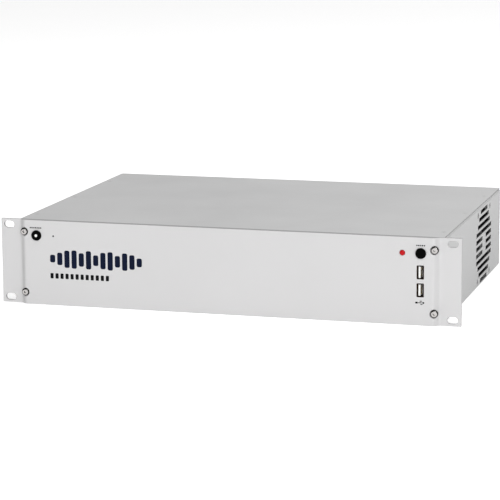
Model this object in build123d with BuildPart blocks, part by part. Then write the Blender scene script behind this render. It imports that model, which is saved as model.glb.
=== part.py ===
from build123d import *
import os

# Two-unit rack effects processor: a stepped aluminium front panel on a folded steel case, with a side fan,
# a power supply, a main board with plug-in processing modules, and a rear panel of audio connectors.
# Frame: +X to the right seen from the front, +Y to the rear, +Z up. The origin is at the centre of the
# bottom of the bounding box. "Depth" is measured to the rear from the front face of the rack ears, and
# "across" on the rear panel is measured to the right as seen from behind, so it is -X.

# ---- Driving dimensions, in millimetres -------------------------------------------------------------
panel_width = 482.6  # 19-inch rack panel
panel_height = 88.1  # two rack units
rack_hole_pitch_x = 465.1
rack_hole_pitch_z = 76.2
rack_slot_length = 11.0
rack_slot_height = 7.0
ear_thickness = 3.0
panel_step = 4.0  # how far the middle of the panel stands in front of the ears
step_inner_x = 212.5
step_outer_x = 221.5
panel_screw_x = 215.0
panel_screw_pitch_z = 63.5

case_width = 446.5
case_depth = 325.0
sheet = 1.2
bend_radius = 2.5  # outside of the folded corners
wall_height = 86.2
cover_thickness = 1.2
cover_inset = 0.5  # the cover stops this far inside the walls
rear_sheet = 1.5

fan_size = 80.0
fan_depth = 25.0
fan_hole_pitch = 71.5
fan_centre_depth = 224.5
fan_centre_z = 42.4

button_reach = 1.6  # how far a button stands in front of the panel
bnc_reach = 13.0  # how far the longest connector stands behind the rear panel

# ---- Places worked out from them --------------------------------------------------------------------
front_reach = panel_step + button_reach
ear_y = front_reach - (front_reach + case_depth + bnc_reach) / 2
half_case = case_width / 2
inner_x = half_case - sheet
mid_z = panel_height / 2
base_top = sheet
flange_bottom = wall_height - sheet
cover_top = wall_height + cover_thickness
rear_inner_depth = case_depth - rear_sheet
panel_rear_depth = ear_thickness
flange_depth = panel_rear_depth + sheet


def facing_front(depth):
    """A plane at a depth behind the ears, seen from the front: x is +X, y is +Z, and it faces -Y."""
    return Plane(origin=(0, ear_y + depth, 0), x_dir=(1, 0, 0), z_dir=(0, -1, 0))


def facing_rear(reach):
    """A plane at a reach behind the rear panel, seen from behind: x is -X, y is +Z, and it faces +Y."""
    return Plane(origin=(0, ear_y + case_depth + reach, 0), x_dir=(-1, 0, 0), z_dir=(0, 1, 0))


def facing_right(x):
    """A plane across the case: x is the depth behind the ears, y is +Z, and it faces +X."""
    return Plane(origin=(x, ear_y, 0), x_dir=(0, 1, 0), z_dir=(1, 0, 0))


def facing_up(z):
    """A level plane: x is +X, y is the depth behind the ears, and it faces +Z."""
    return Plane(origin=(0, ear_y, z))


pieces = {}  # node name to builder, in the order in which the unit goes together

# ---- Screws, made once and placed many times --------------------------------------------------------
def round_head_screw(head_radius, head_height, edge, radius, length, key_radius):
    """A screw along Z, seated at z = 0, with a rounded head above and a hexagon socket in it."""
    with BuildPart() as made:
        Cylinder(head_radius, head_height, align=(Align.CENTER, Align.CENTER, Align.MIN))
        fillet(made.edges().group_by(Axis.Z)[-1], edge)
        with BuildSketch(Plane.XY.offset(head_height)):
            RegularPolygon(key_radius, 6)
        extrude(amount=-0.6 * head_height, mode=Mode.SUBTRACT)
        Cylinder(radius, length, align=(Align.CENTER, Align.CENTER, Align.MAX))
    return made.part


def countersunk_screw(head_radius, radius, length):
    """A screw along Z with the flat top of its 90-degree head at z = 0 and a cross recess in it."""
    with BuildPart() as made:
        with BuildSketch(Plane.XZ):
            with BuildLine():
                neck = -(head_radius - radius)
                Polyline((0, 0), (head_radius, 0), (radius, neck), (radius, -length), (0, -length), (0, 0))
            make_face()
        revolve(axis=Axis.Z)
        with BuildSketch():
            Rectangle(1.1 * head_radius, 0.6)
            Rectangle(0.6, 1.1 * head_radius)
        extrude(amount=-0.45 * head_radius, mode=Mode.SUBTRACT)
    return made.part


# ---- Front panel ------------------------------------------------------------------------------------
control_x = 201.2  # buttons and ports stand on this line, left and right
control_z = 72.3
lamp_x = 182.8
button_radius = 5.2
button_hole_radius = 5.45
lamp_radius = 2.8
lamp_hole_radius = 2.95
pinhole_radius = 0.9
usb_places = [(control_x - 0.2, 53.4), (control_x - 0.2, 35.5)]
usb_cutout = (7.4, 13.9)
pocket_half_width = 208.5
pocket_height = 76.0
panel_wall = 3.0
seat_depth = -panel_step / 2  # the screws' spot-faces are cut half-way down the step
seat_radius = 4.6
panel_screw_places = [
    (side * panel_screw_x, mid_z + end * panel_screw_pitch_z / 2) for side in (-1, 1) for end in (-1, 1)
]
step_middle = ((step_inner_x + step_outer_x) / 2, -panel_step / 2)

with BuildPart() as front_panel:
    with BuildSketch(facing_up(0)):
        with BuildLine():
            ear = Line((panel_width / 2, 0), (step_outer_x, 0))
            outer_bend = TangentArc(ear @ 1, step_middle, tangent=ear % 1)
            inner_bend = TangentArc(outer_bend @ 1, (step_inner_x, -panel_step), tangent=outer_bend % 1)
            Line(inner_bend @ 1, (0, -panel_step))
            Polyline((panel_width / 2, 0), (panel_width / 2, ear_thickness), (0, ear_thickness))
            mirror(about=Plane.YZ)
        make_face()
    extrude(amount=panel_height)
    fillet(front_panel.edges().filter_by(Axis.Z).group_by(Axis.X)[0].sort_by(Axis.Y)[0], 0.6)
    fillet(front_panel.edges().filter_by(Axis.Z).group_by(Axis.X)[-1].sort_by(Axis.Y)[0], 0.6)
    with BuildSketch(facing_front(ear_thickness)):
        with Locations((0, mid_z)):
            with GridLocations(rack_hole_pitch_x, rack_hole_pitch_z, 2, 2):
                SlotOverall(rack_slot_length, rack_slot_height)
    extrude(amount=ear_thickness, mode=Mode.SUBTRACT)
    with BuildSketch(facing_front(ear_thickness)):  # pocket that leaves a thinner wall behind the controls
        with Locations((0, mid_z)):
            RectangleRounded(2 * pocket_half_width, pocket_height, 4)
    extrude(amount=ear_thickness + panel_step - panel_wall, mode=Mode.SUBTRACT)
    with BuildSketch(facing_front(seat_depth)):
        with Locations(*panel_screw_places):
            Circle(seat_radius)
    extrude(amount=panel_step, mode=Mode.SUBTRACT)
    with BuildSketch(facing_front(ear_thickness)):
        with Locations(*panel_screw_places):
            Circle(2.15)
        with Locations((-control_x, control_z), (control_x, control_z)):
            Circle(button_hole_radius)
        with Locations((lamp_x, control_z)):
            Circle(lamp_hole_radius)
        with Locations((-lamp_x, control_z)):
            Circle(pinhole_radius)
        with Locations(*usb_places):
            RectangleRounded(*usb_cutout, 0.8)
    extrude(amount=ear_thickness + panel_step, mode=Mode.SUBTRACT)
pieces["front_panel"] = front_panel

panel_screw = round_head_screw(
    head_radius=4.0, head_height=2.3, edge=1.7, radius=1.95, length=11, key_radius=1.45
)
with BuildPart() as panel_screws:
    with Locations(facing_front(seat_depth)):
        with Locations(*panel_screw_places):
            add(panel_screw)
pieces["panel_screws"] = panel_screws

# ---- Case -------------------------------------------------------------------------------------------
top_flange_width = 13.0
end_flange_width = 11.5
vent_slot_height = 4.5
vent_pitch = 7.45
vent_lengths = [40, 58, 72, 89, 89, 89, 89, 89, 72, 58, 40]  # from the top row down
vent_bridge = 19.5  # solid strip across the three centre rows
vent_bridge_depth = 226.5
cover_screw_x = 216.0
cover_screw_depths = (36, 150, 264)
cover_screw_places = [(x, d) for x in (-cover_screw_x, cover_screw_x) for d in cover_screw_depths]
rear_screw_x = 215.0
rear_screw_places = [(x, z) for x in (-rear_screw_x, rear_screw_x) for z in (13, 43, 73)]
fan_hole_places = [
    (fan_centre_depth + y * fan_hole_pitch / 2, fan_centre_z + z * fan_hole_pitch / 2)
    for y in (-1, 1)
    for z in (-1, 1)
]
case_length = rear_inner_depth - panel_rear_depth

with BuildPart() as chassis_tub:
    with BuildSketch(facing_front(panel_rear_depth)) as section:
        with Locations((0, wall_height / 2)):
            Rectangle(case_width, wall_height)
        fillet(section.vertices(), bend_radius)
        with BuildSketch(mode=Mode.SUBTRACT) as hollow:
            with Locations((0, wall_height / 2)):
                Rectangle(case_width - 2 * sheet, wall_height - 2 * sheet)
            fillet(hollow.vertices(), bend_radius - sheet)
        with Locations((0, wall_height)):
            Rectangle(case_width - 2 * top_flange_width, 4 * sheet, mode=Mode.SUBTRACT)
    extrude(amount=-case_length)
    with BuildSketch(facing_front(flange_depth), facing_front(rear_inner_depth)):
        with Locations((0, wall_height / 2)):
            with GridLocations(case_width - sheet - end_flange_width, 0, 2, 1):
                Rectangle(end_flange_width, wall_height - 2 * sheet + 0.4)
    extrude(amount=sheet)
    with BuildSketch(facing_right(-half_case)):  # vent slots, the same on both sides
        for row, length in enumerate(vent_lengths):
            with Locations((fan_centre_depth, fan_centre_z + (5 - row) * vent_pitch)):
                Rectangle(length, vent_slot_height)
        with Locations((vent_bridge_depth, fan_centre_z)):
            Rectangle(vent_bridge, 2 * vent_pitch + vent_slot_height + 1, mode=Mode.SUBTRACT)
    extrude(amount=case_width, mode=Mode.SUBTRACT)
    with Locations(facing_right(half_case)):
        with Locations(*fan_hole_places):
            CounterSinkHole(2.15, 3.3, sheet, 90)
    with BuildSketch(facing_front(flange_depth)):
        with Locations(*panel_screw_places):
            Circle(2.15)
    extrude(amount=sheet, mode=Mode.SUBTRACT)
    with BuildSketch(facing_rear(-rear_sheet)):
        with Locations(*rear_screw_places):
            Circle(1.6)
    extrude(amount=-sheet, mode=Mode.SUBTRACT)
    with BuildSketch(facing_up(wall_height)):
        with Locations(*cover_screw_places):
            Circle(1.6)
    extrude(amount=-sheet, mode=Mode.SUBTRACT)
pieces["chassis_tub"] = chassis_tub
with BuildPart() as panel_nuts:  # pressed into the front flanges behind the panel screws
    with BuildSketch(facing_front(flange_depth)):
        with Locations(*panel_screw_places):
            RegularPolygon(3.9, 6)
            Circle(2.0, mode=Mode.SUBTRACT)
    extrude(amount=-3)
pieces["panel_nuts"] = panel_nuts

with BuildPart() as top_cover:
    cover_front = panel_rear_depth + 0.3
    with BuildSketch(facing_up(wall_height)):
        with Locations((0, (cover_front + case_depth) / 2)):
            Rectangle(case_width - 2 * cover_inset, case_depth - cover_front)
    extrude(amount=cover_thickness)
    fillet(top_cover.edges().filter_by(Axis.Z).group_by(Axis.Y)[-1], 1.4)
    with Locations(facing_up(cover_top)):
        with Locations(*cover_screw_places):
            CounterSinkHole(1.65, 2.8, cover_thickness, 90)
pieces["top_cover"] = top_cover

with BuildPart() as cover_screws:
    with Locations(facing_up(cover_top)):
        with Locations(*cover_screw_places):
            add(countersunk_screw(head_radius=2.7, radius=1.5, length=4))
pieces["cover_screws"] = cover_screws

# ---- Rear panel: places are (across, z) as seen from behind ------------------------------------------
inlet_place = (186, 45)
inlet_flange = (30, 64)
inlet_body = (27, 47)
socket_z = 36
drawer_z = 60
rocker_place = (146, 45)
rocker_body = (21.4, 29.4)
network_port_place = (96, 34)
network_port_size = (16.4, 13.6)
xlr_rows = (23, 64)
xlr_input_places = [(68, z) for z in xlr_rows]
xlr_output_places = [(36, z) for z in xlr_rows]
xlr_flange = (26, 31)
xlr_body_radius = 11.7
xlr_bore_radius = 9.7
latch_size = (8, 2.6)
latch_lift = 12.6  # latch above the middle of its socket
bnc_places = [(6, 24), (6, 62)]
dsub_places = [(-40, 24), (-40, 62)]
dsub_flange = (53, 12.5)
dsub_screw_x = 23.52
option_across = -161.5
option_rows = (16.5, 43.5, 70.5)
option_cover_size = (93, 25)
option_opening = (74, 19)
thumbscrew_x = 42.0
thumbscrew_places = [(option_across + x, z) for x in (-thumbscrew_x, thumbscrew_x) for z in option_rows]
xlr_screw_places = [
    (across + side * 9.5, z + side * 12)
    for across, z in xlr_input_places + xlr_output_places
    for side in (-1, 1)
]
inlet_screw_places = [(inlet_place[0], inlet_place[1] + z) for z in (-27.7, 27.7)]
fit = 0.2  # gap all round a connector in its cut-out

with BuildPart() as rear_panel:
    with BuildSketch(facing_rear(-rear_sheet)):
        with Locations((0, wall_height / 2)):
            RectangleRounded(case_width, wall_height, bend_radius)
    extrude(amount=rear_sheet)
    fillet(rear_panel.edges().group_by(Axis.Y)[-1], 0.6)
    with BuildSketch(facing_rear(0)):
        with Locations(inlet_place):
            Rectangle(inlet_body[0] + 2 * fit, inlet_body[1] + 2 * fit)
        with Locations(rocker_place):
            Rectangle(rocker_body[0] + 2 * fit, rocker_body[1] + 2 * fit)
        with Locations(network_port_place):
            Rectangle(network_port_size[0] + 2 * fit, network_port_size[1] + 2 * fit)
        with Locations(*xlr_input_places, *xlr_output_places):
            Circle(xlr_body_radius + fit)
        with Locations(*[(across, z + latch_lift) for across, z in xlr_input_places]):
            Rectangle(latch_size[0] + 0.8, latch_size[1] + 0.8)
        with Locations(*bnc_places):
            Circle(5.5 + fit)
        with Locations(*dsub_places):
            Rectangle(41, 10.4)
            with GridLocations(2 * dsub_screw_x, 0, 2, 1):
                Circle(1.6)
        with Locations(*[(option_across, z) for z in option_rows]):
            Rectangle(*option_opening)
        with Locations(*rear_screw_places, *xlr_screw_places, *inlet_screw_places, *thumbscrew_places):
            Circle(1.6)
    extrude(amount=-rear_sheet, mode=Mode.SUBTRACT)
pieces["rear_panel"] = rear_panel

sheet_screw = round_head_screw(
    head_radius=2.75, head_height=1.9, edge=1.2, radius=1.4, length=6, key_radius=1.1
)
with BuildPart() as rear_panel_screws:
    with Locations(facing_rear(0)):
        with Locations(*rear_screw_places):
            add(sheet_screw)
pieces["rear_panel_screws"] = rear_panel_screws

# ---- Side fan ---------------------------------------------------------------------------------------
fan_plane = Plane(
    origin=(inner_x - fan_depth, ear_y + fan_centre_depth, fan_centre_z), x_dir=(0, 1, 0), z_dir=(1, 0, 0)
)
duct_radius = 38.0
hub_radius = 16.0
motor_top = 17.0
cup_bottom = 4.0
cup_top = 21.5
cup_wall = 1.4
blade_count = 7
shaft_radius = 1.5

with BuildPart() as fan_frame:
    with BuildSketch(fan_plane):
        RectangleRounded(fan_size, fan_size, 4)
        Circle(duct_radius, mode=Mode.SUBTRACT)
    extrude(amount=fan_depth)
    with BuildSketch(fan_plane.offset(4)):  # the waist between the two flanges
        Rectangle(fan_size, fan_size)
        Circle(duct_radius + 1.5, mode=Mode.SUBTRACT)
        with GridLocations(fan_hole_pitch, fan_hole_pitch, 2, 2):
            Circle(4.2, mode=Mode.SUBTRACT)
    extrude(amount=fan_depth - 8, mode=Mode.SUBTRACT)
    with BuildSketch(fan_plane):
        with GridLocations(fan_hole_pitch, fan_hole_pitch, 2, 2):
            Circle(2.15)
    extrude(amount=fan_depth, mode=Mode.SUBTRACT)
    with BuildSketch(fan_plane):
        Circle(hub_radius)
        with PolarLocations(0, 3, start_angle=30):
            with Locations((duct_radius / 2 + 5, 0)):
                Rectangle(duct_radius - 8, 3.2)
    extrude(amount=3)
pieces["fan_frame"] = fan_frame

with BuildPart() as fan_motor:
    with BuildSketch(fan_plane.offset(3)):
        Circle(hub_radius - cup_wall - 3.2)
        with PolarLocations(hub_radius - cup_wall - 3.2, 4, start_angle=45):
            Rectangle(4, 2.2, mode=Mode.SUBTRACT)
        Circle(shaft_radius + 0.04, mode=Mode.SUBTRACT)
    extrude(amount=motor_top - 3)
pieces["fan_motor"] = fan_motor

with BuildPart() as fan_rotor:
    blade_middle = (cup_bottom + cup_top) / 2
    for turn in range(blade_count):
        spoke = fan_plane.location * Location((0, 0, blade_middle), (0, 0, 360 * turn / blade_count))
        outwards = spoke * Location((0, 0, 0), (0, 90, 0))
        root = Plane(outwards * Location((0, 0, hub_radius - 1), (0, 0, -48)))
        tip = Plane(outwards * Location((0, 4, duct_radius - 0.8), (0, 0, -62)))
        with BuildSketch(root, tip):
            SlotOverall(19, 1.5)
        loft()
    with BuildSketch(fan_plane.offset(cup_bottom)):
        Circle(hub_radius)
        Circle(hub_radius - cup_wall, mode=Mode.SUBTRACT)
    extrude(amount=cup_top - cup_bottom)
    with BuildSketch(fan_plane.offset(cup_top)):
        Circle(hub_radius)
    extrude(amount=-cup_wall)
    with BuildSketch(fan_plane.offset(cup_top)):
        Circle(shaft_radius)
    extrude(amount=-(cup_top - 3.6))
    with BuildSketch(fan_plane.offset(cup_bottom)):
        Circle(3 * duct_radius)
        Circle(duct_radius - 0.6, mode=Mode.SUBTRACT)
    extrude(amount=fan_depth, mode=Mode.SUBTRACT)
pieces["fan_rotor"] = fan_rotor

with BuildPart() as fan_screws:
    with Locations(facing_right(half_case)):
        with Locations(*fan_hole_places):
            add(countersunk_screw(head_radius=3.2, radius=2.0, length=10))
pieces["fan_screws"] = fan_screws

# ---- Boards on standoffs ----------------------------------------------------------------------------
standoff_length = 10.0
board_thickness = 1.6
board_z = base_top + standoff_length
board_top = board_z + board_thickness
main_board_x = (-112, 188)
main_board_depths = (62, 302)
power_board_x = (-212, -122)
power_board_depths = (105, 285)
main_standoffs = [(x, d) for x in (-105, 41, 181) for d in (69, 208, 295)]
power_standoffs = [(x, d) for x in (-206, -128) for d in (111, 279)]
wall_behind_controls = -panel_step + panel_wall  # depth of the rear of the thin wall in the front panel
front_board_depth = wall_behind_controls + standoff_length
front_board_size = (37.0, 70.0)
front_board_x = 189.0
front_standoffs = [(side * x, z) for side in (-1, 1) for x, z in ((176, 15), (203, 15), (176, 58))]

with BuildPart() as standoffs:
    with BuildSketch(facing_up(base_top)):
        with Locations(*main_standoffs, *power_standoffs):
            RegularPolygon(2.9, 6)
            Circle(1.45, mode=Mode.SUBTRACT)
    extrude(amount=standoff_length)
    with BuildSketch(facing_front(wall_behind_controls)):
        with Locations(*front_standoffs):
            RegularPolygon(2.9, 6)
            Circle(1.45, mode=Mode.SUBTRACT)
    extrude(amount=-standoff_length)
pieces["standoffs"] = standoffs

with BuildPart() as main_board:
    with BuildSketch(facing_up(board_z)):
        with Locations((sum(main_board_x) / 2, sum(main_board_depths) / 2)):
            Rectangle(main_board_x[1] - main_board_x[0], main_board_depths[1] - main_board_depths[0])
        with Locations(*main_standoffs):
            Circle(1.6, mode=Mode.SUBTRACT)
    extrude(amount=board_thickness)
pieces["main_board"] = main_board

with BuildPart() as power_board:
    with BuildSketch(facing_up(board_z)):
        with Locations((sum(power_board_x) / 2, sum(power_board_depths) / 2)):
            Rectangle(power_board_x[1] - power_board_x[0], power_board_depths[1] - power_board_depths[0])
        with Locations(*power_standoffs):
            Circle(1.6, mode=Mode.SUBTRACT)
    extrude(amount=board_thickness)
pieces["power_board"] = power_board

for name, side in (("control_board", 1), ("network_board", -1)):
    with BuildPart() as front_board:
        with BuildSketch(facing_front(front_board_depth)):
            with Locations((side * front_board_x, 45)):
                Rectangle(*front_board_size)
            with Locations(*[place for place in front_standoffs if place[0] * side > 0]):
                Circle(1.6, mode=Mode.SUBTRACT)
        extrude(amount=-board_thickness)
    pieces[name] = front_board

with BuildPart() as board_screws:
    with Locations(facing_up(board_top)):
        with Locations(*main_standoffs, *power_standoffs):
            add(sheet_screw)
    with Locations(facing_rear(front_board_depth + board_thickness - case_depth)):
        with Locations(*[(-x, z) for x, z in front_standoffs]):
            add(sheet_screw)
pieces["board_screws"] = board_screws

# ---- Processing: plug-in modules with heatsinks on the main board ------------------------------------
module_x = (-62, 6, 74, 142)
module_depth = 145.0
module_size = (62, 84)
socket_height = 10.0
module_z = board_top + socket_height
sink_size = 44.0
sink_z = module_z + board_thickness + 2.4  # on top of the processor
chips = [  # x, depth, size across and size along
    (-70, 230, 28, 28),
    (-20, 236, 22, 22),
    (64, 232, 28, 28),
    (112, 246, 14, 20),
    (150, 240, 20, 14),
    (-84, 268, 12, 18),
    (-10, 272, 10, 10),
    (92, 276, 10, 10),
    (20, 80, 18, 12),
    (96, 80, 18, 12),
]

with BuildPart() as main_board_chips:
    for x, depth, across, along in chips:
        with BuildSketch(facing_up(board_top)):
            with Locations((x, depth)):
                Rectangle(across, along)
        extrude(amount=2.2, taper=12)
pieces["main_board_chips"] = main_board_chips

with BuildPart() as module_sockets:
    with BuildSketch(facing_up(board_top)):
        with Locations(*[(x, module_depth) for x in module_x]):
            with GridLocations(0, module_size[1] - 10, 1, 2):
                Rectangle(50, 6)
                Rectangle(46, 1.2, mode=Mode.SUBTRACT)
    extrude(amount=socket_height)
pieces["module_sockets"] = module_sockets

with BuildPart() as signal_modules:
    with BuildSketch(facing_up(module_z)):
        with Locations(*[(x, module_depth) for x in module_x]):
            Rectangle(*module_size)
    extrude(amount=board_thickness)
    with BuildSketch(facing_up(module_z + board_thickness)):
        with Locations(*[(x, module_depth) for x in module_x]):
            Rectangle(30, 30)
            with GridLocations(0, 66, 1, 2):
                with GridLocations(14, 0, 4, 1):
                    Rectangle(9, 12)
    extrude(amount=1.1)
    with BuildSketch(facing_up(module_z + board_thickness)):
        with Locations(*[(x, module_depth) for x in module_x]):
            Rectangle(28, 28)
    extrude(amount=2.4)
pieces["signal_modules"] = signal_modules

with BuildPart() as module_heatsinks:
    with BuildSketch(facing_up(sink_z)):
        with Locations(*[(x, module_depth) for x in module_x]):
            Rectangle(sink_size, sink_size)
    extrude(amount=3)
    with BuildSketch(facing_up(sink_z + 3)):
        with Locations(*[(x, module_depth) for x in module_x]):
            with GridLocations(4.2, 0, 10, 1):
                Rectangle(1.4, sink_size)
    extrude(amount=15)
pieces["module_heatsinks"] = module_heatsinks

# ---- Power supply -----------------------------------------------------------------------------------
transformer_place = (-166, 205)
core_leg = 13.0
core_window = (9.0, 24.0)
core_size = (2 * core_window[0] + 2 * core_leg, 14, core_window[1] + 12)
core_middle = board_top + core_size[2] / 2
transformer_middle = (transformer_place[0], ear_y + transformer_place[1], core_middle)
transformer_plane = Plane(transformer_middle, x_dir=(1, 0, 0), z_dir=(0, -1, 0))

with BuildPart() as transformer_core:
    with BuildSketch(transformer_plane):
        Rectangle(core_size[0], core_size[2])
        with GridLocations(core_leg + core_window[0], 0, 2, 1):
            Rectangle(*core_window, mode=Mode.SUBTRACT)
    extrude(amount=core_size[1] / 2, both=True)
pieces["transformer_core"] = transformer_core

with BuildPart() as transformer_winding:
    with BuildSketch(Plane(transformer_middle)):
        RectangleRounded(core_leg + 2 * core_window[0] - 1, core_size[1] + 2 * core_window[0] - 1, 7)
        Rectangle(core_leg + 0.4, core_size[1] + 0.4, mode=Mode.SUBTRACT)
    extrude(amount=core_window[1] / 2 - 0.4, both=True)
pieces["transformer_winding"] = transformer_winding

with BuildPart() as power_capacitors:
    for radius, height, places in (
        (11, 34, [(-192, 158), (-192, 183)]),
        (6.3, 22, [(-133, 148), (-133, 163), (-133, 178), (-133, 193)]),
    ):
        with BuildSketch(facing_up(board_top)):
            with Locations(*places):
                Circle(radius)
        extrude(amount=height)
    rims = power_capacitors.edges().filter_by(GeomType.CIRCLE)
    fillet(rims.filter_by(lambda edge: edge.center().Z > board_top + 1), 0.9)
pieces["power_capacitors"] = power_capacitors

with BuildPart() as power_heatsinks:
    with BuildSketch(facing_up(board_top)):
        with Locations((-170, 132), (-170, 243)):
            Rectangle(64, 3)
            with GridLocations(8, 0, 8, 1):
                with Locations((0, 5)):
                    Rectangle(1.6, 8)
    extrude(amount=34)
pieces["power_heatsinks"] = power_heatsinks

# ---- Headers, ribbon cables and wires ----------------------------------------------------------------
header_rear_depth = front_board_depth + board_thickness + 6
right_ribbon_x = 180.0
left_ribbon_x = 186.0
right_ribbon_z = 40.0
right_header_depth = 76.0
header_height = 8.0
ribbon_width = 13.0
ribbon_thickness = 0.9
left_ribbon_z = board_top + 9.0
left_header = (-103, 99)  # x and depth
power_header = (-103, 128)
power_output = (-133, 128)
mains_header = (-146, 262)
mains_header_height = 12.0
fan_header = (178, 232)
fan_lead_z = 34.0
link_depths = (295, 303)

with BuildPart() as board_headers:
    with BuildSketch(facing_up(board_top)):
        with Locations((right_ribbon_x, right_header_depth)):
            Rectangle(16, 8)
        with Locations(power_header, power_output):
            Rectangle(8, 20)
        with Locations(fan_header):
            Rectangle(6, 8)
    extrude(amount=header_height)
    with BuildSketch(facing_up(board_top)):
        with Locations(mains_header):
            Rectangle(16, 10)
    extrude(amount=mains_header_height)
    with BuildSketch(facing_up(board_top)):
        with Locations(left_header):
            Rectangle(8, 8)
    extrude(amount=18)
    with BuildSketch(facing_up(board_top)):
        with Locations((0, sum(link_depths) / 2 - 0.25)):
            Rectangle(64, link_depths[1] - link_depths[0] - 0.5)
    extrude(amount=9)
    with BuildSketch(facing_rear(header_rear_depth - case_depth)):
        with Locations((-right_ribbon_x, right_ribbon_z)):
            Rectangle(16, 8)
        with Locations((left_ribbon_x, left_ribbon_z)):
            Rectangle(8, 17)
    extrude(amount=-6)
pieces["board_headers"] = board_headers


def level_and_drop(x, start, end):
    """A path at one x that leaves to the front or rear from start (depth, z) and turns down onto end."""
    radius = min(abs(end[0] - start[0]), start[1] - end[1]) - 0.3
    with BuildLine(facing_right(x)) as path:
        FilletPolyline(start, (end[0], start[1]), end, radius=radius)
    return path.wire()


right_ribbon = level_and_drop(
    right_ribbon_x, (header_rear_depth, right_ribbon_z), (right_header_depth, board_top + header_height)
)
with BuildLine(facing_up(left_ribbon_z)) as left_ribbon_line:
    half_way = (header_rear_depth + left_header[1] - 4) / 2
    FilletPolyline(
        (-left_ribbon_x, header_rear_depth),
        (-left_ribbon_x, half_way),
        (left_header[0], half_way),
        (left_header[0], left_header[1] - 4),
        radius=half_way - header_rear_depth - 0.3,
    )
left_ribbon = left_ribbon_line.wire()

with BuildPart() as ribbon_cables:
    with BuildSketch(Plane(right_ribbon @ 0, x_dir=(1, 0, 0), z_dir=right_ribbon % 0)):
        Rectangle(ribbon_width, ribbon_thickness)
    sweep(path=right_ribbon)
    with BuildSketch(Plane(left_ribbon @ 0, x_dir=(0, 0, 1), z_dir=left_ribbon % 0)):
        Rectangle(ribbon_width, ribbon_thickness)
    sweep(path=left_ribbon)
pieces["ribbon_cables"] = ribbon_cables

wire_radius = 0.9
with BuildPart() as low_voltage_wires:
    for wire in range(6):  # from the power supply over to the main board
        depth = power_header[1] + (wire - 2.5) * 2.9
        with BuildLine(facing_front(depth)) as hoop:
            CenterArc(
                ((power_output[0] + power_header[0]) / 2, board_top + header_height),
                (power_header[0] - power_output[0]) / 2,
                start_angle=180,
                arc_size=-180,
            )
        with BuildSketch(Plane(hoop.wire() @ 0, z_dir=hoop.wire() % 0)):
            Circle(wire_radius)
        sweep(path=hoop.wire())
    for wire in (-1, 1):  # from the fan to the main board
        with BuildLine(facing_front(fan_header[1] + 2 * wire)) as lead:
            FilletPolyline(
                (inner_x - fan_depth, fan_lead_z),
                (fan_header[0], fan_lead_z),
                (fan_header[0], board_top + header_height),
                radius=fan_lead_z - board_top - header_height - 0.3,
            )
        with BuildSketch(Plane(lead.wire() @ 0, z_dir=lead.wire() % 0)):
            Circle(0.7)
        sweep(path=lead.wire())
pieces["low_voltage_wires"] = low_voltage_wires

mains_wire_radius = 1.25
inlet_tab_depth = 288.0
rocker_tab_depth = 290.0
blade_across = 7.0  # pin spacing of the inlet, each side of the middle
with BuildPart() as mains_wires:
    for side in (-1, 1):
        inlet_wire_x = -inlet_place[0] + side * 5
        rocker_wire_x = -rocker_place[0] - side * 5
        turn_depth = inlet_tab_depth - 2
        with BuildLine(facing_up(rocker_place[1] + 6 + 3 * side)) as loop:  # from the inlet to the switch
            Line((inlet_wire_x, inlet_tab_depth), (inlet_wire_x, turn_depth))
            CenterArc(
                ((inlet_wire_x + rocker_wire_x) / 2, turn_depth),
                (rocker_wire_x - inlet_wire_x) / 2,
                start_angle=180,
                arc_size=180,
            )
            Line((rocker_wire_x, turn_depth), (rocker_wire_x, rocker_tab_depth))
        with BuildSketch(Plane(loop.wire() @ 0, z_dir=loop.wire() % 0)):
            Circle(mains_wire_radius)
        sweep(path=loop.wire())
        drop = level_and_drop(  # from the switch down to the power supply
            -rocker_place[0] + side * 5,
            (rocker_tab_depth, rocker_place[1] - 8),
            (mains_header[1], board_top + mains_header_height),
        )
        with BuildSketch(Plane(drop @ 0, z_dir=drop % 0)):
            Circle(mains_wire_radius)
        sweep(path=drop)
pieces["mains_wires"] = mains_wires

# ---- Buttons, lamp and ports of the front panel -------------------------------------------------------
button_travel = 1.2
flange_radius = 6.8
stem_radius = 1.6
switch_size = 6.2
switch_depth = 3.0  # front of the switch housings
lens_radius = 1.5
usb_shell = (6.6, 13.1)
usb_mouth = (5.4, 12.5)
usb_front = -panel_step - 0.2
usb_block = 3.0  # moulded block that closes the rear of a port
tongue_size = (1.9, 11.2)

for name, side in (("power_button", 1), ("network_button", -1)):
    with BuildPart() as button:
        with BuildSketch(facing_front(-panel_step - button_reach)):
            with Locations((side * control_x, control_z)):
                Circle(button_radius)
        extrude(amount=-(button_reach + panel_step + wall_behind_controls + 1.5))
        fillet(button.edges().group_by(Axis.Y)[0], 0.6)
        with BuildSketch(facing_front(wall_behind_controls + 0.3)):
            with Locations((side * control_x, control_z)):
                Circle(flange_radius)
        extrude(amount=-1.2)
        with BuildSketch(facing_front(wall_behind_controls + 1.5)):
            with Locations((side * control_x, control_z)):
                Circle(stem_radius)
        extrude(amount=-4)
        if side < 0:
            with BuildSketch(facing_front(-panel_step - button_reach)):
                with Locations((side * control_x, control_z)):
                    Circle(lens_radius)
            extrude(amount=-3, mode=Mode.SUBTRACT)
    pieces[name] = button

with BuildPart() as network_button_lens:
    with BuildSketch(facing_front(-panel_step - button_reach - 0.2)):
        with Locations((-control_x, control_z)):
            Circle(lens_radius)
    extrude(amount=-3.2)
    fillet(network_button_lens.edges().group_by(Axis.Y)[0], 0.3)
pieces["network_button_lens"] = network_button_lens

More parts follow.
